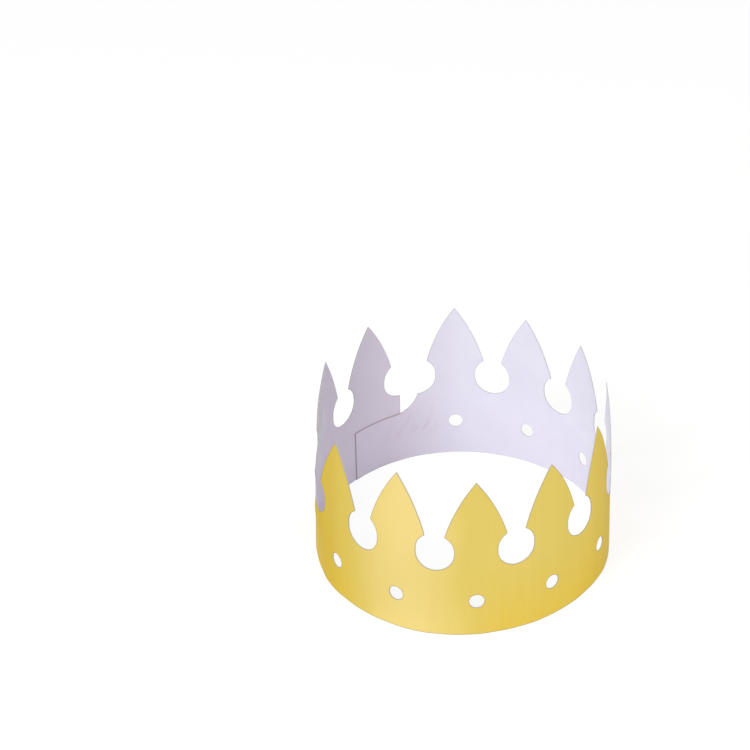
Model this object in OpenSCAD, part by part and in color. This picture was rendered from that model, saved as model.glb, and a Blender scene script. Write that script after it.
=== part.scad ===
// Open paper crown: one die-cut strip of foil-faced card, rolled into an upright oval ring.
// The low tab at one end of the strip is glued flat against the inside of the plain end.
// Millimetres, +Z up. The standing edge lies in the plane z = 0 and the front faces -Y.
// Runs along the strip start in the middle of the back and go clockwise seen from above.

/* [Ring] */
// Radius of the tighter arcs at the front and the back, to the middle of the card
end_radius = 78; // [74:0.5:82]
// Radius of the flatter arcs at both sides, to the middle of the card
side_radius = 98; // [92:0.5:108]
// Thickness of the card
card_thickness = 0.4; // [0.3:0.1:0.8]

/* [Peaks] */
// Number of peaks spread along the strip
peaks = 12; // [9:1:14]
// Height of the tips above the standing edge
crown_height = 102; // [92:1:120]
// Height of the shoulder corners above the standing edge
shoulder_height = 66.5; // [64:0.5:72]
// Radius of the convex curve of each flank
flank_radius = 110; // [60:1:300]

/* [Keyholes and holes] */
// Clear width between the shoulders of two neighbouring peaks
throat_width = 11.5; // [8:0.5:16]
// Radius of the round ends of the keyhole below each throat
keyhole_radius = 10.8; // [9:0.2:12]
// Straight run between the round ends of the keyhole
keyhole_straight = 2; // [0.5:0.5:4]
// Height of the lowest point of the keyhole
keyhole_foot = 43.8; // [40:0.2:45]
// Diameter of the round hole punched under each peak
hole_diameter = 8.6; // [4:0.2:12]
// Height of the centre of the punched holes
hole_height = 22.7; // [14:0.1:30]

/* [Tab] */
// Length of the tab from the middle of the first keyhole to its free end
tab_length = 47; // [40:1:60]
// Height of the tab's top edge above the standing edge
tab_height = 32; // [31.5:0.5:34]
// Radius of the hollow corner where the tab leaves the strip
tab_fillet = 16; // [14:0.5:20]
// Length of the tab in sight between the middle of the first keyhole and the plain end
lap_reveal = 11.8; // [9:0.2:13]

/* [Hidden] */
$fa = 1;
$fs = 0.4;

// How far the cuts run past the card, as a share of the pitch
overrun_share = 0.3;
// How far the first peak stands to the right of the middle of the back, as a share of the pitch
peak_shift_share = 0.01;
// How far the cut above the tab stays short of the middle of the keyhole, as a share of the throat
passing_share = 0.25;

// The ring is an oval of tangent arcs that hand over along 3-4-5 directions, so every centre is
// exact. The left half is rolled half a card wider and half a card further back than the right
// half, so that the plain end comes round to lie against the outside of the tab.
handover = [3 / 5, 4 / 5];
arc_step = side_radius - end_radius;
lap_step = card_thickness / 2;
lap_shift = [0, lap_step];
back_centre = [0, arc_step * handover.y];
right_centre = [-arc_step * handover.x, 0];
back_right = handover;
front_right = [handover.x, -handover.y];
front_left = -handover;
back_left = [-handover.x, handover.y];

// Size of the areas that pick out parts of the ring, which reach well outside it
reach = 2 * side_radius;

// Angles that the end arcs and the side arcs take up to one side of their middle
end_turn = atan2(handover.x, handover.y);
side_turn = atan2(handover.y, handover.x);

// The peaks share the run that is left when part of the tab's hollow corner stays in sight.
lead_radius = end_radius - lap_step;
lap_radius = end_radius + lap_step;
run_to_lap = run_of(2 * end_radius + lap_radius, end_turn)
    + run_of(2 * side_radius + lap_step, 2 * side_turn);
lap_growth = lap_radius / lead_radius;
back_left_run = run_of(lead_radius, end_turn);
root_share = 1 / 2 - peak_shift_share;
pitch = (run_to_lap + lap_growth * (back_left_run - lap_reveal))
    / (peaks - root_share + lap_growth * root_share);
overrun = pitch * overrun_share;
blank_height = crown_height + overrun;

// Where the tab starts, where its hollow corner ends, and how far it runs along the left arc
root_run = peak_run(-1 / 2);
corner_run = root_run - tab_fillet;
tail_run = tab_length - root_run - back_left_run;

// Bearings of the plain end and of the tab's free end
plain_bearing = 90 + turn_of(lead_radius, lap_reveal - root_run);
tail_bearing = 90 + end_turn + turn_of(side_radius - lap_step, tail_run);

// The strip from the hollow corner on, as [centre, radius, first and last direction] of each arc
arcs = [
    [back_centre + lap_shift, lead_radius, direction(90 + turn_of(lead_radius, -corner_run)), [0, 1]],
    [back_centre, end_radius, [0, 1], back_right],
    [right_centre, side_radius, back_right, front_right],
    [-back_centre, end_radius, front_right, [0, -1]],
    [lap_shift - back_centre, lap_radius, [0, -1], front_left],
    [lap_shift - right_centre, side_radius + lap_step, front_left, back_left],
    [back_centre + lap_shift, lap_radius, back_left, direction(plain_bearing)]
];

// Unit vector at a bearing, length of an arc, and the angle that a length takes up on an arc
function direction(angle) = [cos(angle), sin(angle)];
function run_of(radius, angle) = radius * angle * PI / 180;
function turn_of(radius, run) = run / radius * 180 / PI;

// Clockwise angle from one direction to another
function clockwise(from, to) =
    let (angle = atan2(from.y, from.x) - atan2(to.y, to.x)) angle < 0 ? angle + 360 : angle;

// Run in the middle of a peak, run at which an arc starts, and the arc that holds a given run
function peak_run(peak) = (peak + peak_shift_share) * pitch;
function arc_start(i) =
    i == 0 ? corner_run
        : arc_start(i - 1) + run_of(arcs[i - 1][1], clockwise(arcs[i - 1][2], arcs[i - 1][3]));
function arc_at(run) =
    max([for (i = [0 : len(arcs) - 1]) if (i == 0 || arc_start(i) <= run) i]);

// Bearing of the outward normal and the point in the middle of the card at a run
function bearing(run) =
    let (i = arc_at(run), arc = arcs[i])
    atan2(arc[2].y, arc[2].x) - turn_of(arc[1], run - arc_start(i));
function place(run) =
    let (arc = arcs[arc_at(run)]) arc[0] + arc[1] * direction(bearing(run));

// Distance of a point of the strip from another one, along the tangent at the latter
function along(run, origin) =
    let (turn = bearing(origin)) (place(run) - place(origin)) * [sin(turn), -cos(turn)];

// Centre of a flank's curve through the shoulder and the tip, on the peak's side of both
function flank_centre(side, tip_x) =
    let (
        shoulder = [side * throat_width / 2, shoulder_height],
        rise = [tip_x, crown_height] - shoulder,
        depth = sqrt(pow(flank_radius, 2) - pow(norm(rise) / 2, 2))
    )
    shoulder + rise / 2 + side * depth * [rise.y, -rise.x] / norm(rise);

// Sets a flat outline upright on the card, its x along the run, and cuts through to both sides
module through_card(run, depth = overrun) {
    spot = place(run);
    translate([spot.x, spot.y, 0])
        rotate([90, 0, bearing(run) - 90])
            linear_extrude(2 * depth, center = true)
                children();
}

// Wedge-shaped area between two directions, and the area to one side of the Y axis
module wedge(from, to) {
    polygon([[0, 0], reach * from, reach * (from + to), reach * to]);
}
module half(side) {
    translate([side < 0 ? -reach : 0, -reach])
        square([reach, 2 * reach]);
}

// Area inside the oval, its arcs wider than the middle of the card by a given gain
module oval(gain) {
    for (side = [-1, 1]) {
        translate(side * back_centre)
            circle(r = end_radius + gain);
        translate(side * right_centre)
            intersection() {
                circle(r = side_radius + gain);
                wedge(side * back_right, side * front_right);
            }
    }
}

// Plan of the card all round the oval
module loop(gain) {
    difference() {
        oval(gain + card_thickness / 2);
        oval(gain - card_thickness / 2);
    }
}

// Plan of the right half, and of the left half as far as the plain end
module wall_plan() {
    intersection() {
        loop(0);
        half(1);
    }
    translate(lap_shift)
        difference() {
            intersection() {
                loop(lap_step);
                half(-1);
            }
            translate(back_centre)
                wedge(back_right, direction(plain_bearing));
        }
}

// Plan of the lead, which starts with the tab and joins the right half in the middle of the back
module lead_plan() {
    translate(lap_shift)
        intersection() {
            loop(-lap_step);
            half(-1);
            translate(-right_centre)
                wedge(back_right, direction(tail_bearing));
        }
}

// Outline of the round-ended keyhole
module keyhole() {
    low = keyhole_foot + keyhole_radius;
    translate([0, low])
        circle(r = keyhole_radius);
    translate([-keyhole_radius, low])
        square([2 * keyhole_radius, keyhole_straight]);
    translate([0, low + keyhole_straight])
        circle(r = keyhole_radius);
}

// Opening between two flanks, from the keyhole's waist to above the tips
module throat(left_tip, right_tip) {
    left = left_tip == undef ? -throat_width / 2 : left_tip - overrun;
    right = right_tip == undef ? throat_width / 2 : right_tip + overrun;
    low = keyhole_foot + keyhole_radius;
    difference() {
        translate([left, low])
            square([right - left, crown_height + 2 * overrun - low]);
        if (left_tip != undef) {
            translate(flank_centre(-1, left_tip))
                circle(r = flank_radius);
        }
        if (right_tip != undef) {
            translate(flank_centre(1, right_tip))
                circle(r = flank_radius);
        }
    }
}

// Keyhole and throat after a peak; before the first and after the last peak one side is open
module notch(peak) {
    middle = peak_run(peak + 1 / 2);
    left_tip = peak < 0 ? undef : along(peak_run(peak), middle);
    right_tip = peak + 1 == peaks ? undef : along(peak_run(peak + 1), middle);
    through_card(middle) {
        keyhole();
        throat(left_tip, right_tip);
    }
}

// Round hole under a peak
module punched_hole(peak) {
    through_card(peak_run(peak))
        translate([0, hole_height])
            circle(d = hole_diameter);
}

// Outline of what is cut away above the tab, from the end of the hollow corner
module above_tab() {
    passing_x = tab_fillet - throat_width * passing_share;
    passing_z = tab_height + tab_fillet;
    translate([0, passing_z])
        circle(r = tab_fillet);
    translate([-2 * tab_length, tab_height])
        square([2 * tab_length, blank_height]);
    translate([-tab_length, passing_z])
        square([tab_length + passing_x, blank_height]);
}

// The strip from the middle of the back round to the plain end
module wall() {
    difference() {
        linear_extrude(blank_height)
            wall_plan();
        for (peak = [-1 : peaks - 1]) {
            notch(peak);
        }
        for (peak = [0 : peaks - 1]) {
            punched_hole(peak);
        }
    }
}

// The start of the strip: the tab inside the plain end and the left half of the first peak
module lead() {
    difference() {
        linear_extrude(blank_height)
            lead_plan();
        through_card(corner_run, tab_length)
            above_tab();
        notch(-1);
        punched_hole(0);
    }
}

module crown_strip() {
    color("gold")
        translate([lap_step / 2, 0, 0]) {
            wall();
            lead();
        }
}

crown_strip();
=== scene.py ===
import math

import bpy
import numpy as np
from mathutils import Matrix, Vector
from mathutils.geometry import delaunay_2d_cdt


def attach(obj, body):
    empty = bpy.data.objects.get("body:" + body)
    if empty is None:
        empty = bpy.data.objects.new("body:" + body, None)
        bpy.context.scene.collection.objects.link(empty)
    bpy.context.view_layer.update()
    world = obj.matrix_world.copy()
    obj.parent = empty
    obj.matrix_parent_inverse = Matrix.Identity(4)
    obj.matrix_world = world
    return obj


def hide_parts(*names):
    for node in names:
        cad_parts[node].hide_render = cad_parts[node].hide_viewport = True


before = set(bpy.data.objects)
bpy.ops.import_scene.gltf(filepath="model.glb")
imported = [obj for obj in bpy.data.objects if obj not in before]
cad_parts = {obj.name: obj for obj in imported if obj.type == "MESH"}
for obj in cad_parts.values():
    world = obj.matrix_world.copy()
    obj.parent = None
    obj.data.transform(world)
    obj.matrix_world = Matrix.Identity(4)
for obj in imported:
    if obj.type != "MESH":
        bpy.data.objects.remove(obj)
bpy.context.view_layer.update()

# Paper crown: one die-cut strip of gold foil card, rolled into a lapped oval ring and bent by hand.
# Metres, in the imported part's frame: +Z up, the standing edge at z = 0 and the front towards -Y.
MM = 0.001

# Sizes of the strip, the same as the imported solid's
END_RADIUS = 78 * MM
SIDE_RADIUS = 98 * MM
CARD = 0.4 * MM
PEAKS = 12
CROWN_HEIGHT = 102 * MM
SHOULDER_HEIGHT = 66.5 * MM
FLANK_RADIUS = 110 * MM
THROAT = 11.5 * MM
KEYHOLE_RADIUS = 10.8 * MM
KEYHOLE_STRAIGHT = 2 * MM
KEYHOLE_FOOT = 43.8 * MM
HOLE_RADIUS = 4.3 * MM
HOLE_HEIGHT = 22.7 * MM
TAB_LENGTH = 47 * MM
TAB_HEIGHT = 32 * MM
TAB_FILLET = 16 * MM
LAP_REVEAL = 11.8 * MM
PEAK_SHIFT_SHARE = 0.01

# Values that follow from the sizes. The ring's arcs hand over along 3-4-5 directions, and runs
# along the strip start in the middle of the back and go clockwise seen from above.
HANDOVER = (0.6, 0.8)
ARC_STEP = SIDE_RADIUS - END_RADIUS
LAP_STEP = CARD / 2
END_TURN = math.atan2(HANDOVER[0], HANDOVER[1])
SIDE_TURN = math.atan2(HANDOVER[1], HANDOVER[0])
LEAD_RADIUS = END_RADIUS - LAP_STEP
LAP_RADIUS = END_RADIUS + LAP_STEP
END_RUNS = (2 * END_RADIUS + LAP_RADIUS) * END_TURN
SIDE_RUNS = (2 * SIDE_RADIUS + LAP_STEP) * 2 * SIDE_TURN
LAP_GROWTH = LAP_RADIUS / LEAD_RADIUS
BACK_LEFT_RUN = LEAD_RADIUS * END_TURN
ROOT_SHARE = 0.5 - PEAK_SHIFT_SHARE
PITCH = (END_RUNS + SIDE_RUNS + LAP_GROWTH * (BACK_LEFT_RUN - LAP_REVEAL)) / (
    PEAKS - ROOT_SHARE + LAP_GROWTH * ROOT_SHARE
)
ROOT_RUN = -ROOT_SHARE * PITCH
CORNER_RUN = ROOT_RUN - TAB_FILLET
TAIL_RUN = ROOT_RUN - TAB_LENGTH
PLAIN_RUN = (PEAKS - ROOT_SHARE) * PITCH

# How each peak was bent by hand: how far the tip leans inwards and along the ring and how far the
# middle bows out, in millimetres, and how far the peak is twisted, in degrees
LEAN_IN = (-0.1, 3.0, 2.5, 2.0, 2.4, 0.0, -0.5, 3.2, 1.5, 6.3, 3.1, 3.0)
LEAN_ALONG = (0.0, 0.5, -0.5, -2.5, 0.5, 1.0, -0.2, -0.5, -0.5, -1.0, -0.7, -0.9)
BOW = (0.0, 0.0, 0.8, 1.0, 0.0, 0.0, 0.0, 0.0, 0.0, -1.6, 0.0, 0.0)
TWIST = (0.0, 0.0, 0.0, 2.0, 0.0, 0.0, 0.0, 0.0, 0.0, 8.0, 0.0, 0.0)

# Height at which the lean starts and the power by which it grows from there to the tip
LEAN_FOOT = 40 * MM
LEAN_POWER = 1.6

# How the bent ring departs from a true oval: middle, reach and size of soft bulges, of bulges that
# come in above the standing edge, and of stretches that lie further on along the ring, all in
# millimetres. The first and the last bulge are one, a whole ring apart, for both layers of the lap.
BULGES = (
    (10, 75, -0.8),
    (92, 40, 0.5),
    (178, 35, 0.7),
    (242, 55, -0.7),
    (325, 40, 0.4),
    (412, 40, -0.8),
    (574.7, 75, -0.8),
)
HIGH_BULGES = ((396, 22, 1.5), (424, 26, -2.6))
HIGH_BULGE_RISE = (5 * MM, 45 * MM)
SHIFTS = ((185, 40, -0.7), (215, 50, -0.6), (320, 80, 0.7), (400, 60, 2.4))

# Slow waves of the card, as share of the wave's size, waves to a pitch, phase in radians and change
# of phase with the height in radians to a metre, and where they rise after the tab and fade before
# the plain end
WAVE = 0.16 * MM
WAVES = ((1.0, 0.63, 1.1, 0.0), (0.6, 1.37, 0.0, 40.0), (0.4, 2.9, 0.0, 0.0))
WAVE_RISE = (-5 * MM, 30 * MM)
WAVE_FADE = (PLAIN_RUN - 60 * MM, PLAIN_RUN - 90 * MM)

# At the lap the tab lies a hair inside and the plain end lifts a little
GLUE_GAP = 0.06 * MM
PLAIN_END_LIFT = 0.25 * MM
PLAIN_END_REACH = 14 * MM

# The cuts towards the plain end and towards the tab were punched a little high: how high, over what
# stretch that comes in, and the height above which it is full
CUT_RISE = 2.4 * MM
CUT_RISE_REACH = 100 * MM
TAB_CUT_RISE = 1.2 * MM
TAB_CUT_RISE_START = 10 * MM
CUT_RISE_FOOT = 30 * MM

# How finely the strip is meshed: the grid inside, the height of its rows as a share of its width,
# the steps along the outline, the band along the cut edges and how sharp a corner that band follows
GRID = 2.2 * MM
ROW_SHARE = 0.866
OUTLINE_STEP = 0.9 * MM
LEAST_ARC_STEPS = 3
SHORTEST_EDGE = 0.05 * MM
HOLE_SIDES = 40
EDGE_BAND = 0.6 * MM
LEAST_CORNER_COSINE = 0.5

# How near to others a point of the grid and of the band may lie, and what counts as one place
GRID_CLEARANCE = 0.55 * GRID
BAND_CLEARANCE = 0.9 * EDGE_BAND
SAME_POINT = 1e-7
SAME_RUN = 1e-9


def srgb(red, green, blue):
    """Linear colour of an sRGB colour given as 0 to 255."""
    shares = [value / 255 for value in (red, green, blue)]
    linear = [c / 12.92 if c <= 0.04045 else ((c + 0.055) / 1.055) ** 2.4 for c in shares]
    return (*linear, 1.0)


def peak_run(peak):
    """Run in the middle of a peak or, half a peak on, in the middle of the keyhole after it."""
    return (peak + PEAK_SHIFT_SHARE) * PITCH


# The ring


def ring_arcs():
    """The strip's arcs from the tab's free end on, as centre, radius, first bearing, first run."""
    right, up = math.pi / 2 - END_TURN, math.pi / 2
    back = (0.0, ARC_STEP * HANDOVER[1])
    side = ARC_STEP * HANDOVER[0]
    steps = [
        ((side, LAP_STEP), SIDE_RADIUS - LAP_STEP, None, up + END_TURN),
        ((0.0, back[1] + LAP_STEP), LEAD_RADIUS, up + END_TURN, up),
        (back, END_RADIUS, up, right),
        ((-side, 0.0), SIDE_RADIUS, right, -right),
        ((0.0, -back[1]), END_RADIUS, -right, -up),
        ((0.0, LAP_STEP - back[1]), LAP_RADIUS, -up, right - math.pi),
        ((side, LAP_STEP), SIDE_RADIUS + LAP_STEP, right - math.pi, -right - math.pi),
        ((0.0, back[1] + LAP_STEP), LAP_RADIUS, -right - math.pi, None),
    ]
    tail_turn = (-BACK_LEFT_RUN - TAIL_RUN) / steps[0][1]
    arcs, run = [], TAIL_RUN
    for centre, radius, first, last in steps:
        if first is None:
            first = last + tail_turn
        arcs.append((centre, radius, first, run))
        run += radius * (first - last) if last is not None else 0.0
    return arcs


def smooth_step(start, full, value):
    """Share that grows smoothly from 0 at start to 1 at full, which may lie below start."""
    share = np.clip((value - start) / (full - start), 0, 1)
    return share * share * (3 - 2 * share)


def bumps(run, rows):
    """Sum of smooth bumps along the strip."""
    total = np.zeros(len(run))
    for middle, reach, size in rows:
        share = np.clip(np.abs(run / MM - middle) / reach, 0, 1)
        total += size * MM * (1 - share ** 2) ** 2
    return total


def oval(run):
    """Points at the foot of the oval, in the middle of the card, and outward normals."""
    point, normal = np.zeros((len(run), 3)), np.zeros((len(run), 3))
    for centre, radius, first, start in ring_arcs():
        here = run >= start - SAME_RUN
        angle = first - (run[here] - start) / radius
        direction = np.stack([np.cos(angle), np.sin(angle), np.zeros(len(angle))], 1)
        point[here] = np.array([centre[0] + LAP_STEP / 2, centre[1], 0]) + radius * direction
        normal[here] = direction
    return point, normal


def peak_bends(run, height):
    """How far the hand-bent peaks lie inwards and further on along the ring."""
    peak = np.clip(np.round(run / PITCH - PEAK_SHIFT_SHARE), 0, PEAKS - 1).astype(int)
    level = np.clip((height - LEAN_FOOT) / (CROWN_HEIGHT - LEAN_FOOT), 0, 1)
    lean = level ** LEAN_POWER
    inward = np.array(LEAN_IN)[peak] * MM * lean

    # The bow is a parabola that is full halfway up, and the twist comes in beside the keyholes
    inward -= np.array(BOW)[peak] * MM * 4 * level * (1 - level)
    above = smooth_step(KEYHOLE_FOOT, SHOULDER_HEIGHT, height)
    inward += np.sin(np.radians(np.array(TWIST)[peak])) * (run - peak_run(peak)) * above
    return inward, np.array(LEAN_ALONG)[peak] * MM * lean


def dents(run, height):
    """How far the card lies outside the oval: its slow waves, the bulges and the lap."""
    phase = run / PITCH * 2 * math.pi
    wave = sum(
        share * np.sin(pace * phase + start + slant * height) for share, pace, start, slant in WAVES
    )
    outward = WAVE * wave * smooth_step(*WAVE_RISE, run) * smooth_step(*WAVE_FADE, run)
    outward += bumps(run, BULGES)
    outward += bumps(run, HIGH_BULGES) * smooth_step(*HIGH_BULGE_RISE, height)
    outward -= GLUE_GAP * smooth_step(ROOT_RUN, CORNER_RUN, run)
    outward += PLAIN_END_LIFT * smooth_step(PLAIN_RUN - PLAIN_END_REACH, PLAIN_RUN, run)
    return outward


def cut_rise(run, height):
    """How far the cuts were punched too high."""
    at_plain_end = CUT_RISE * smooth_step(PLAIN_RUN - CUT_RISE_REACH, PLAIN_RUN, run)
    at_tab = TAB_CUT_RISE * smooth_step(TAB_CUT_RISE_START, ROOT_RUN, run)
    return (at_plain_end + at_tab) * smooth_step(0, CUT_RISE_FOOT, height)


def roll(run, height):
    """Points in the middle of the card and outward normals for points of the flat strip."""
    point, normal = oval(run + bumps(run, SHIFTS))
    point[:, 2] = height + cut_rise(run, height)
    along = np.stack([normal[:, 1], -normal[:, 0], np.zeros(len(run))], 1)
    inward, sideways = peak_bends(run, height)
    outward = dents(run, height) - inward
    return point + outward[:, None] * normal + sideways[:, None] * along, normal


# The flat strip


def arc_points(centre, radius, first, last):
    """Points on an arc from one angle to another, about an outline step apart."""
    count = max(LEAST_ARC_STEPS, int(abs(last - first) * radius / OUTLINE_STEP))
    angles = np.linspace(first, last, count + 1)
    return [(centre[0] + radius * math.cos(a), centre[1] + radius * math.sin(a)) for a in angles]


def half_notch(side):
    """Right (1) or left (-1) edge of a notch in its own plane, from the keyhole's foot to a tip."""
    low = KEYHOLE_FOOT + KEYHOLE_RADIUS
    high = low + KEYHOLE_STRAIGHT
    throat_turn = math.acos(THROAT / 2 / KEYHOLE_RADIUS)
    right = arc_points((0, low), KEYHOLE_RADIUS, -math.pi / 2, 0)
    right += arc_points((0, high), KEYHOLE_RADIUS, 0, throat_turn)

    # The flank's arc bulges away from the peak's middle, so its centre is on the peak's side
    shoulder = np.array([THROAT / 2, SHOULDER_HEIGHT])
    tip = np.array([LEAD_RADIUS * math.sin(PITCH / 2 / LEAD_RADIUS), CROWN_HEIGHT])
    chord = tip - shoulder
    length = np.linalg.norm(chord)
    depth = math.sqrt(FLANK_RADIUS ** 2 - (length / 2) ** 2)
    centre = shoulder + chord / 2 + depth * np.array([chord[1], -chord[0]]) / length
    first, last = (math.atan2(*(end - centre)[::-1]) for end in (shoulder, tip))
    right.append(tuple(shoulder))
    right += arc_points(centre, FLANK_RADIUS, first, last)[1:]
    return [(side * x, z) for x, z in right]


def on_strip(middle, points):
    """Points of a notch's own plane, laid along the strip."""
    return [(middle + LEAD_RADIUS * math.asin(x / LEAD_RADIUS), z) for x, z in points]


def straight(start, end):
    """Points from start up to, but not including, end."""
    count = max(1, round(math.dist(start, end) / OUTLINE_STEP))
    start, end = np.array(start), np.array(end)
    return [tuple(start + (end - start) * i / count) for i in range(count)]


def corner_end():
    """Angle on the tab's hollow corner at which it meets the first keyhole."""
    rise = KEYHOLE_FOOT + KEYHOLE_RADIUS - TAB_HEIGHT - TAB_FILLET
    distance = math.hypot(TAB_FILLET, rise)
    share = (TAB_FILLET ** 2 - KEYHOLE_RADIUS ** 2 + distance ** 2) / (2 * distance * TAB_FILLET)
    return math.atan2(rise, TAB_FILLET) - math.acos(share)


def strip_outline():
    """Outline of the flat strip, counter-clockwise, as points (run, height)."""
    outline = straight((TAIL_RUN, 0), (PLAIN_RUN, 0))
    outline += straight((PLAIN_RUN, 0), (PLAIN_RUN, KEYHOLE_FOOT))
    for peak in range(PEAKS - 1, -1, -1):
        outline += on_strip(peak_run(peak + 0.5), half_notch(-1))
        outline += on_strip(peak_run(peak - 0.5), half_notch(1))[::-1][1:]
    corner = (CORNER_RUN, TAB_HEIGHT + TAB_FILLET)
    outline += arc_points(corner, TAB_FILLET, corner_end(), -math.pi / 2)
    outline += straight((CORNER_RUN, TAB_HEIGHT), (TAIL_RUN, TAB_HEIGHT))[1:]
    outline += straight((TAIL_RUN, TAB_HEIGHT), (TAIL_RUN, 0))
    kept = [outline[0]]
    for point in outline[1:]:
        if math.dist(point, kept[-1]) > SHORTEST_EDGE:
            kept.append(point)
    return kept


def hole_outline(peak):
    """Punched hole under a peak, clockwise."""
    turns = [-2 * math.pi * i / HOLE_SIDES for i in range(HOLE_SIDES)]
    return [
        (peak_run(peak) + HOLE_RADIUS * math.cos(a), HOLE_HEIGHT + HOLE_RADIUS * math.sin(a))
        for a in turns
    ]


def inset_loop(loop):
    """Points of a loop moved into the card by the width of the edge band."""
    before, after = loop - np.roll(loop, 1, axis=0), np.roll(loop, -1, axis=0) - loop
    sides = [np.stack([-d[:, 1], d[:, 0]], 1) / np.hypot(*d.T)[:, None] for d in (before, after)]
    middle = sides[0] + sides[1]
    middle /= np.hypot(*middle.T)[:, None]
    cosine = np.clip((middle * sides[0]).sum(1), LEAST_CORNER_COSINE, 1)
    return loop + EDGE_BAND * middle / cosine[:, None]


def edge_distance(point, starts, ends):
    """Shortest distance from a point to any of the segments."""
    along = ends - starts
    share = np.clip(((point - starts) * along).sum(1) / (along ** 2).sum(1), 0, 1)
    return np.min(np.hypot(*(starts + share[:, None] * along - point).T))


def inside(points, loops):
    """Which points lie inside the outline and outside its holes."""
    result = np.zeros(len(points), bool)
    for loop in loops:
        start = np.array(loop)
        end = np.roll(start, -1, axis=0)
        for (x0, y0), (x1, y1) in zip(start, end):
            if y0 == y1:
                continue
            crosses = (y0 > points[:, 1]) != (y1 > points[:, 1])
            crossing = (x1 - x0) * (points[:, 1] - y0) / (y1 - y0) + x0
            result ^= crosses & (points[:, 0] < crossing)
    return result


def grid_points(loops, points):
    """Even points inside the loops, clear of the points that are there already."""
    rows = int(CROWN_HEIGHT / (GRID * ROW_SHARE))
    columns = int((PLAIN_RUN - TAIL_RUN) / GRID)
    grid = np.array(
        [
            (TAIL_RUN + (i + 0.5 * (j % 2)) * GRID, j * GRID * ROW_SHARE)
            for j in range(1, rows + 1)
            for i in range(1, columns + 1)
        ]
    )
    grid = grid[inside(grid, loops)]
    placed = np.array(points)
    placed = placed[np.argsort(placed[:, 0])]
    low = np.searchsorted(placed[:, 0], grid[:, 0] - GRID)
    high = np.searchsorted(placed[:, 0], grid[:, 0] + GRID)
    clear = [
        np.min(np.hypot(*(placed[a:b] - spot).T), initial=GRID) > GRID_CLEARANCE
        for spot, a, b in zip(grid, low, high)
    ]
    return [tuple(p) for p in grid[np.array(clear)]]


def flat_strip():
    """Flat strip as points (run, height) and triangles."""
    loops = [strip_outline()] + [hole_outline(peak) for peak in range(PEAKS)]
    points, edges = [], []
    for loop in loops:
        first = len(points)
        points += loop
        edges += [(first + i, first + (i + 1) % len(loop)) for i in range(len(loop))]

    # A row of points just inside every cut edge, left out where it comes too near another edge
    outline = np.array(points)
    starts, ends = outline[[e[0] for e in edges]], outline[[e[1] for e in edges]]
    inset = np.concatenate([inset_loop(np.array(loop)) for loop in loops])
    points += [tuple(p) for p in inset if edge_distance(p, starts, ends) > BAND_CLEARANCE]
    points += grid_points(loops, points)

    result = delaunay_2d_cdt([Vector(p) for p in points], edges, [], 0, SAME_POINT)
    flat = np.array([tuple(v) for v in result[0]])
    triangles = np.array(result[2])
    middles = flat[triangles].mean(axis=1)
    return flat, triangles[inside(middles, loops)]


def crown_mesh(name):
    """The rolled strip as a closed thin solid: foil outside, paper inside, cut edges between."""
    flat, triangles = flat_strip()
    used = np.unique(triangles)
    renumber = np.full(len(flat), -1)
    renumber[used] = np.arange(len(used))
    flat, triangles = flat[used], renumber[triangles]
    middle, normal = roll(flat[:, 0], flat[:, 1])
    count = len(flat)
    outer, inner = middle + normal * CARD / 2, middle - normal * CARD / 2

    # Runs go clockwise, so a counter-clockwise flat triangle faces inwards once it is rolled
    pairs = np.concatenate([triangles[:, [0, 1]], triangles[:, [1, 2]], triangles[:, [2, 0]]])
    known = {tuple(p) for p in pairs}
    rim = [(int(a), int(b)) for a, b in pairs if (b, a) not in known]
    faces = [tuple(int(i) for i in t[::-1]) for t in triangles]
    faces += [tuple(int(i) + count for i in t) for t in triangles]
    faces += [(a, b, b + count, a + count) for a, b in rim]
    mesh = bpy.data.meshes.new(name)
    mesh.from_pydata(np.concatenate([outer, inner]).tolist(), [], faces)

    # Material slots in the order of the faces: foil, paper and cut edge
    slots = np.repeat(range(3), [len(triangles), len(triangles), len(rim)])
    mesh.polygons.foreach_set("material_index", slots.astype(np.int32))

    # The flat strip's own coordinates, for the materials
    edge = np.zeros(count)
    edge[np.unique(rim)] = 1
    for label, values in (("run", flat[:, 0]), ("height", flat[:, 1]), ("edge", edge)):
        layer = mesh.attributes.new(label, "FLOAT", "POINT")
        layer.data.foreach_set("value", np.tile(values, 2).astype(np.float32))
    mesh.update()

    # Round faces are shaded smooth and the cut edges stay crisp
    sharp = {frozenset(p) for p in rim} | {frozenset((a + count, b + count)) for a, b in rim}
    flags = [frozenset(e.vertices) in sharp for e in mesh.edges]
    mesh.attributes.new("sharp_edge", "BOOLEAN", "EDGE").data.foreach_set("value", flags)
    mesh.polygons.foreach_set("use_smooth", np.ones(len(faces), bool))
    crown = bpy.data.objects.new(name, mesh)
    bpy.context.scene.collection.objects.link(crown)
    return crown


# Materials

# Colours of the foil: its middle tone, a painted darker reflection, a painted highlight and a
# painted reflected contact shadow, the fine lines, the cut edges and the tint at grazing angles
GOLD = srgb(225, 201, 105)
GOLD_PAINTED_DARK_REFLECTION = srgb(218, 191, 73)
GOLD_PAINTED_HIGHLIGHT = srgb(238, 215, 138)
GOLD_PAINTED_REFLECTED_SHADOW = srgb(224, 192, 62)
GOLD_LINES = srgb(246, 226, 150)
GOLD_CUT = srgb(172, 158, 124)
GOLD_GRAZING = srgb(228, 217, 184)

# Where the painted highlight is brightest and how wide it is, the painted darker reflection at both
# sides, as the runs at which it starts, is full, starts to fade and ends, and how high the painted
# reflected shadow reaches
HIGHLIGHT_RUN = 318 * MM
HIGHLIGHT_WIDTH = 165 * MM
DARK_REFLECTION_LEFT = (352 * MM, 388 * MM, 435 * MM, 480 * MM)
DARK_REFLECTION_RIGHT = (95 * MM, 135 * MM, 160 * MM, 178 * MM)
REFLECTED_SHADOW_TOP = 45 * MM

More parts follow.
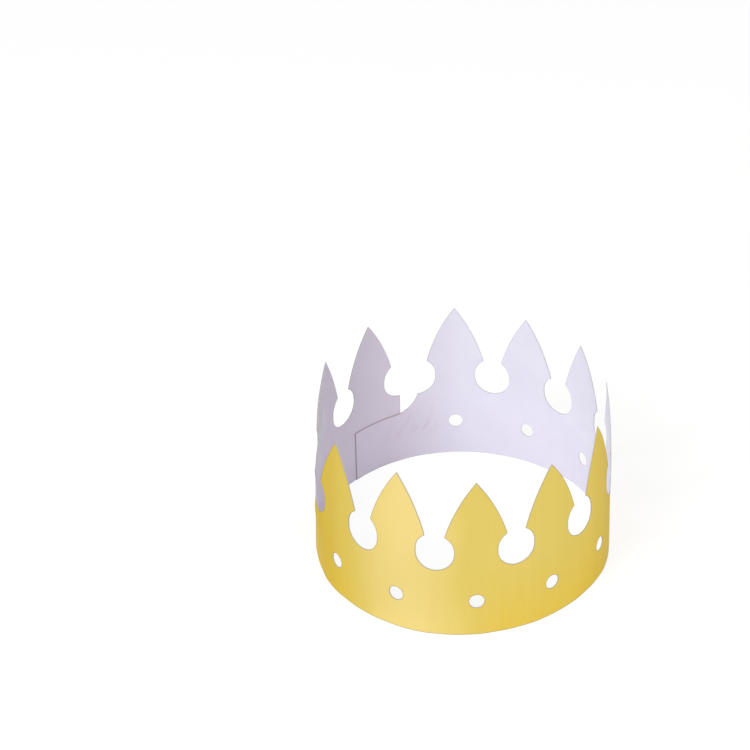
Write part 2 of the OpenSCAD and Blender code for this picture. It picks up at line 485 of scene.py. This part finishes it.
# How clouds shift the painted reflection, the values of it over which the painted highlight and the
# painted reflected shadow come in, and how much of that shadow shows
CLOUD_REFLECTION_SHIFT = (-0.15, 0.15)
HIGHLIGHT_RANGE = (0.3, 1.1)
REFLECTED_SHADOW_RANGE = (0.3, -0.5)
REFLECTED_SHADOW_SHARE = 0.6

# Colours of the paper, with its painted shade tint and painted low shade, and of its cut edges,
# plain, with painted shade at the plain end, and where the tab is glued, brown with painted shadow
PAPER = srgb(230, 228, 241)
PAPER_LIGHT = srgb(234, 232, 244)
PAPER_FIBRES = srgb(206, 202, 218)
PAPER_SHADE_TINT = srgb(226, 216, 229)
PAPER_LOW_SHADE = srgb(208, 202, 216)
PAPER_RUBBED = srgb(212, 190, 206)
PAPER_CUT = srgb(198, 203, 211)
PAPER_CUT_SHADE = srgb(200, 190, 204)
PAPER_CUT_GLUED_AND_SHADOW = srgb(160, 134, 136)

# Where painted shade tints the paper at the tab and at the plain end, how high painted shade greys
# it towards the standing edge, and where it is rubbed, as runs and heights at which that starts, is
# full, starts to fade and ends
SHADE_TINT_TAB = (4 * MM, CORNER_RUN)
SHADE_TINT_PLAIN_END = (PLAIN_RUN - 170 * MM, PLAIN_RUN - 90 * MM)
LOW_SHADE_TOP = 40 * MM
RUBBED_RUNS = (CORNER_RUN - 10 * MM, CORNER_RUN + 4 * MM, -14 * MM, -4 * MM)
RUBBED_HEIGHTS = (10 * MM, 18 * MM, 28 * MM, 36 * MM)

# Slant of the scuffs on the tab, as cosine and sine, and how much finer they are across
SCUFF_SLANT = (0.85, 0.5)
SCUFF_FINENESS = 4.0

# Colours of the card's core, with painted shade near the lap and brown with painted shadow at the
# glued tab, and where its edge is glued and where the painted shade lies
CORE = srgb(180, 182, 182)
CORE_LIGHT = srgb(198, 200, 200)
CORE_PAINTED_SHADE = srgb(154, 148, 150)
CORE_GLUED_AND_SHADOW = srgb(172, 146, 148)
GLUED_EDGE = (CORNER_RUN + 12 * MM, CORNER_RUN)
SHADED_EDGE_RUNS = (PLAIN_RUN - 160 * MM, PLAIN_RUN - 100 * MM)

# Roughness: of the foil, from cloud to cloud and what the grain adds, of the paper and of the core
FOIL_ROUGHNESS = (0.34, 0.42)
GRAIN_ROUGHNESS = (-0.02, 0.02)
PAPER_ROUGHNESS = 0.78
CORE_ROUGHNESS = 0.9

# Fine relief: its depth, its strength on both faces, and the share of each noise in it
RELIEF_DEPTH = 0.2 * MM
FOIL_RELIEF = 0.04
LINE_RELIEF = 0.6
GRAIN_RELIEF = 0.4
PAPER_RELIEF = 0.12
FIBRE_RELIEF = 0.7
MOTTLE_RELIEF = 0.3

# Range that most of a noise's values lie in
NOISE_BODY = (0.3, 0.7)


class Nodes:
    """Node tree of a material or a world, with short ways to add and join nodes."""

    def __init__(self, owner):
        owner.use_nodes = True
        self.owner = owner
        self.tree = owner.node_tree
        self.tree.nodes.clear()

    def add(self, kind, inputs=(), **settings):
        node = self.tree.nodes.new(kind)
        for key, value in settings.items():
            setattr(node, key, value)
        for key, value in dict(inputs).items():
            self.put(node.inputs[key], value)
        return node

    def put(self, socket, value):
        if isinstance(value, bpy.types.NodeSocket):
            self.tree.links.new(value, socket)
        else:
            socket.default_value = value

    def math(self, operation, first, second=0.0, clamp=False):
        values = {0: first, 1: second}
        return self.add("ShaderNodeMath", values, operation=operation, use_clamp=clamp).outputs[0]

    def plus(self, first, second, clamp=False):
        return self.math("ADD", first, second, clamp)

    def times(self, first, second):
        return self.math("MULTIPLY", first, second)

    def attribute(self, name):
        return self.add("ShaderNodeAttribute", attribute_name=name).outputs["Fac"]

    def place(self, x, y):
        return self.add("ShaderNodeCombineXYZ", {0: x, 1: y}).outputs[0]

    def noise(self, vector, scale, detail=2.0, roughness=0.5):
        values = {"Vector": vector, "Scale": scale, "Detail": detail, "Roughness": roughness}
        return self.add("ShaderNodeTexNoise", values).outputs["Fac"]

    def strip_noise(self, upright=1.0, **settings):
        """Noise over the flat strip, drawn out upright where only a share of the height counts."""
        height = self.times(self.attribute("height"), upright)
        return self.noise(self.place(self.attribute("run"), height), **settings)

    def ramp(self, value, low, high, to_low=0.0, to_high=1.0):
        """Value from low to high, which may lie below low, spread over another range."""
        values = {0: value, 1: low, 2: high, 3: to_low, 4: to_high}
        return self.add("ShaderNodeMapRange", values, clamp=True).outputs[0]

    def band(self, value, start, full, fade, end):
        """Share that is 1 from full to fade and 0 outside start and end."""
        return self.times(self.ramp(value, start, full), self.ramp(value, end, fade))

    def mix(self, share, first, second):
        """Colour between two others; sockets 6 and 7 and output 2 are the node's colours."""
        values = {0: share, 6: first, 7: second}
        return self.add("ShaderNodeMix", values, data_type="RGBA").outputs[2]

    def bump(self, strength, height):
        values = {"Strength": strength, "Distance": RELIEF_DEPTH, "Height": height}
        return self.add("ShaderNodeBump", values).outputs[0]

    def seen(self):
        """1 for rays that show the background: to the camera, off metal or through glass."""
        rays = self.add("ShaderNodeLightPath").outputs
        seen = self.math("MAXIMUM", rays["Is Camera Ray"], rays["Is Glossy Ray"])
        return self.math("MAXIMUM", seen, rays["Is Transmission Ray"])

    def finish(self, shader, output="ShaderNodeOutputMaterial"):
        self.add(output, {"Surface": shader.outputs[0]})
        return self.owner


def foil_material():
    """Satin gold foil: painted highlight and painted darker reflections along the strip, muted cut
    edges.
    """
    n = Nodes(bpy.data.materials.new("gold_foil"))
    run, height, edge = n.attribute("run"), n.attribute("height"), n.attribute("edge")
    clouds = n.strip_noise(scale=30.0, upright=0.7)
    lines = n.strip_noise(scale=500.0, detail=3.0, upright=0.05)
    grain = n.strip_noise(scale=2600.0)

    # The painted reflection is 1 in the middle of the painted highlight and -1 outside it, a little
    # cloudy
    turn = n.times(n.math("SUBTRACT", run, HIGHLIGHT_RUN), 2 * math.pi / HIGHLIGHT_WIDTH)
    turn = n.math("MINIMUM", n.math("ABSOLUTE", turn), math.pi)
    painted_reflection = n.plus(n.math("COSINE", turn), n.ramp(clouds, *NOISE_BODY, *CLOUD_REFLECTION_SHIFT))
    # Painted darker reflection in the stretches at both sides
    dark_reflection = n.plus(n.band(run, *DARK_REFLECTION_LEFT), n.band(run, *DARK_REFLECTION_RIGHT))
    dark_reflection = n.times(dark_reflection, n.ramp(clouds, low=0.7, high=0.4, to_low=0.65))
    # Painted shade low down at the sides: the floor's contact shadow seen in the foil
    reflected_shadow = n.ramp(height, REFLECTED_SHADOW_TOP, 0.0, to_high=REFLECTED_SHADOW_SHARE)
    colour = n.mix(dark_reflection, GOLD, GOLD_PAINTED_DARK_REFLECTION)
    # Painted highlight in the middle stretch of the front
    colour = n.mix(n.ramp(painted_reflection, *HIGHLIGHT_RANGE), colour, GOLD_PAINTED_HIGHLIGHT)
    colour = n.mix(n.times(reflected_shadow, n.ramp(painted_reflection, *REFLECTED_SHADOW_RANGE)), colour, GOLD_PAINTED_REFLECTED_SHADOW)
    colour = n.mix(n.ramp(lines, low=0.4, high=0.75, to_high=0.08), colour, GOLD_LINES)
    colour = n.mix(n.ramp(edge, low=0.05, high=0.7, to_high=0.85), colour, GOLD_CUT)

    cloudy = n.ramp(clouds, *NOISE_BODY, *FOIL_ROUGHNESS)
    relief = n.plus(n.times(lines, LINE_RELIEF), n.times(grain, GRAIN_RELIEF))
    shader = n.add(
        "ShaderNodeBsdfPrincipled",
        {
            "Base Color": colour,
            "Metallic": 1.0,
            "Roughness": n.plus(cloudy, n.ramp(grain, *NOISE_BODY, *GRAIN_ROUGHNESS)),
            "Specular Tint": GOLD_GRAZING,
            "Normal": n.bump(FOIL_RELIEF, relief),
        },
    )
    return n.finish(shader)


def paper_material():
    """Uncoated white paper: fibres, scuffs, grey cut edges, painted shade near the lap and low
    down.
    """
    n = Nodes(bpy.data.materials.new("white_paper"))
    run, height, edge = n.attribute("run"), n.attribute("height"), n.attribute("edge")
    mottle = n.strip_noise(scale=60.0, detail=3.0)
    fibres = n.strip_noise(scale=3200.0, detail=3.0, roughness=0.6, upright=0.5)
    colour = n.mix(n.ramp(mottle, *NOISE_BODY), PAPER, PAPER_LIGHT)
    colour = n.mix(n.ramp(fibres, low=0.3, high=0.8, to_high=0.12), colour, PAPER_FIBRES)

    # Painted shade: the shaded inside at the tab and at the plain end is tinted a little pink
    at_plain_end = n.ramp(run, *SHADE_TINT_PLAIN_END)
    shade_tint = n.plus(n.ramp(run, *SHADE_TINT_TAB), at_plain_end, clamp=True)
    colour = n.mix(shade_tint, colour, PAPER_SHADE_TINT)

    # Painted shade: the paper is a little greyer towards the standing edge
    colour = n.mix(n.ramp(height, LOW_SHADE_TOP, 0.0, to_high=0.35), colour, PAPER_LOW_SHADE)

    # Soft scuffs that run up across the tab
    cosine, sine = SCUFF_SLANT
    across = n.plus(n.times(run, cosine), n.times(height, -sine))
    up = n.plus(n.times(run, sine), n.times(height, cosine))
    streaks = n.noise(n.place(n.times(across, SCUFF_FINENESS), up), scale=60.0)
    patch = n.times(n.band(run, *RUBBED_RUNS), n.band(height, *RUBBED_HEIGHTS))
    rubbed = n.times(patch, n.ramp(streaks, low=0.5, high=0.7, to_high=0.45))
    colour = n.mix(rubbed, colour, PAPER_RUBBED)

    # Cut edges are a little grey, with painted shade at the plain end, and those of the glued tab
    # are brown with painted shadow of the gap under it
    # Painted shade on the cut edges at the plain end
    grey = n.mix(at_plain_end, PAPER_CUT, PAPER_CUT_SHADE)
    colour = n.mix(n.ramp(edge, low=0.1, high=0.7, to_high=0.7), colour, grey)
    # The glued tab's edges are brown, partly painted shadow of the gap under the tab
    glued_and_shadow = n.times(n.ramp(run, *GLUED_EDGE), n.ramp(edge, low=0.1, high=0.8, to_high=0.7))
    colour = n.mix(glued_and_shadow, colour, PAPER_CUT_GLUED_AND_SHADOW)

    relief = n.plus(n.times(fibres, FIBRE_RELIEF), n.times(mottle, MOTTLE_RELIEF))
    shader = n.add(
        "ShaderNodeBsdfPrincipled",
        {
            "Base Color": colour,
            "Roughness": PAPER_ROUGHNESS,
            "Normal": n.bump(PAPER_RELIEF, relief),
        },
    )
    return n.finish(shader)


def edge_material():
    """Raw cut edge of the card: grey core with specks, painted shade near the lap, brown and
    painted shadow at the tab.
    """
    n = Nodes(bpy.data.materials.new("cut_edge"))
    run = n.attribute("run")
    specks = n.strip_noise(scale=1800.0)
    colour = n.mix(n.ramp(specks, low=0.35, high=0.65), CORE, CORE_LIGHT)
    # Painted shade on the core near the lap
    colour = n.mix(n.ramp(run, *SHADED_EDGE_RUNS, to_high=0.8), colour, CORE_PAINTED_SHADE)
    # Brown at the glued tab, partly painted shadow of the gap under it
    colour = n.mix(n.ramp(run, *GLUED_EDGE, to_high=0.85), colour, CORE_GLUED_AND_SHADOW)
    values = {"Base Color": colour, "Roughness": CORE_ROUGHNESS}
    return n.finish(n.add("ShaderNodeBsdfPrincipled", values))


# The stage

# Floor: how far it reaches, how far it lies below the standing edge, its colour as a surface, and
# what the camera sees of it, which is a glow and a share that takes the shadow
FLOOR_REACH = 6.0
FLOOR_DROP = 0.05 * MM
FLOOR_COLOUR = srgb(235, 235, 235)
FLOOR_GLOW = 0.84
FLOOR_SHADED = (0.21, 0.21, 0.21, 1)

# Colour of the background, and the strength of the world as light and as that background
WHITE = (1, 1, 1, 1)
WORLD_LIGHT = 0.455
WORLD_SEEN = 1.0

# Point that the lamps face
LAMP_TARGET = Vector((0, 0, 0.05))

# Camera, found from the ring's own outline in the photo: its place, its tilt and roll in radians,
# the focal length and the width of the frame in pixels, and the sensor's width in millimetres
CAMERA_PLACE = Vector((-47.94, -1375.46, 961.63)) * MM
CAMERA_TILT = 0.55203
CAMERA_ROLL = -0.02941
FOCAL_PIXELS = 2849.95
FRAME_PIXELS = 750
SENSOR = 36.0


def floor_material():
    """White floor: the camera sees it as the plain background, with the object's soft shadow."""
    n = Nodes(bpy.data.materials.new("floor_white"))
    plain = n.add("ShaderNodeBsdfDiffuse", {"Color": FLOOR_COLOUR})
    faint = n.add("ShaderNodeBsdfDiffuse", {"Color": FLOOR_SHADED})
    glow = n.add("ShaderNodeEmission", {"Color": WHITE, "Strength": FLOOR_GLOW})
    shown = n.add("ShaderNodeAddShader", {0: faint.outputs[0], 1: glow.outputs[0]})
    inputs = {0: n.seen(), 1: plain.outputs[0], 2: shown.outputs[0]}
    return n.finish(n.add("ShaderNodeMixShader", inputs))


def make_floor():
    mesh = bpy.data.meshes.new("floor")
    signs = ((-1, -1), (1, -1), (1, 1), (-1, 1))
    corners = [(x * FLOOR_REACH, y * FLOOR_REACH, 0) for x, y in signs]
    mesh.from_pydata(corners, [], [(0, 1, 2, 3)])
    floor = bpy.data.objects.new("floor", mesh)
    mesh.materials.append(floor_material())
    bpy.context.scene.collection.objects.link(floor)
    floor.location.z = -FLOOR_DROP


def make_world():
    """Even white studio: plain white to the camera and to reflections, a little softer as light."""
    n = Nodes(bpy.data.worlds.new("studio"))
    strength = n.ramp(n.seen(), 0.0, 1.0, WORLD_LIGHT, WORLD_SEEN)
    background = n.add("ShaderNodeBackground", {"Color": WHITE, "Strength": strength})
    bpy.context.scene.world = n.finish(background, "ShaderNodeOutputWorld")


def make_lamp(name, place, size, watts):
    light = bpy.data.lights.new(name, "AREA")
    light.shape = "SQUARE"
    light.size = size
    light.energy = watts
    lamp = bpy.data.objects.new(name, light)
    lamp.location = place
    lamp.rotation_euler = (LAMP_TARGET - Vector(place)).to_track_quat("-Z", "Y").to_euler()
    bpy.context.scene.collection.objects.link(lamp)


def make_camera():
    data = bpy.data.cameras.new("camera")
    data.sensor_width = SENSOR
    data.lens = FOCAL_PIXELS / FRAME_PIXELS * SENSOR
    camera = bpy.data.objects.new("camera", data)
    tilt_sin, tilt_cos = math.sin(CAMERA_TILT), math.cos(CAMERA_TILT)
    roll_sin, roll_cos = math.sin(CAMERA_ROLL), math.cos(CAMERA_ROLL)
    right = Vector((1, 0, 0))
    down = Vector((0, -tilt_sin, -tilt_cos))
    ahead = Vector((0, tilt_cos, -tilt_sin))
    across = roll_cos * right - roll_sin * down
    below = roll_sin * right + roll_cos * down
    axes = Matrix((across, -below, -ahead)).transposed()
    camera.matrix_world = Matrix.Translation(CAMERA_PLACE) @ axes.to_4x4()
    bpy.context.scene.collection.objects.link(camera)
    bpy.context.scene.camera = camera


make_camera()
make_world()
make_floor()
make_lamp("key", place=(-1.0, -1.2, 1.3), size=0.9, watts=27.0)
make_lamp("fill", place=(1.1, -0.6, 1.2), size=1.0, watts=4.5)
bpy.context.scene.view_settings.view_transform = "Standard"

crown = crown_mesh("crown")
for material in (foil_material(), paper_material(), edge_material()):
    crown.data.materials.append(material)
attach(crown, "root")
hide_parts("crown_strip")
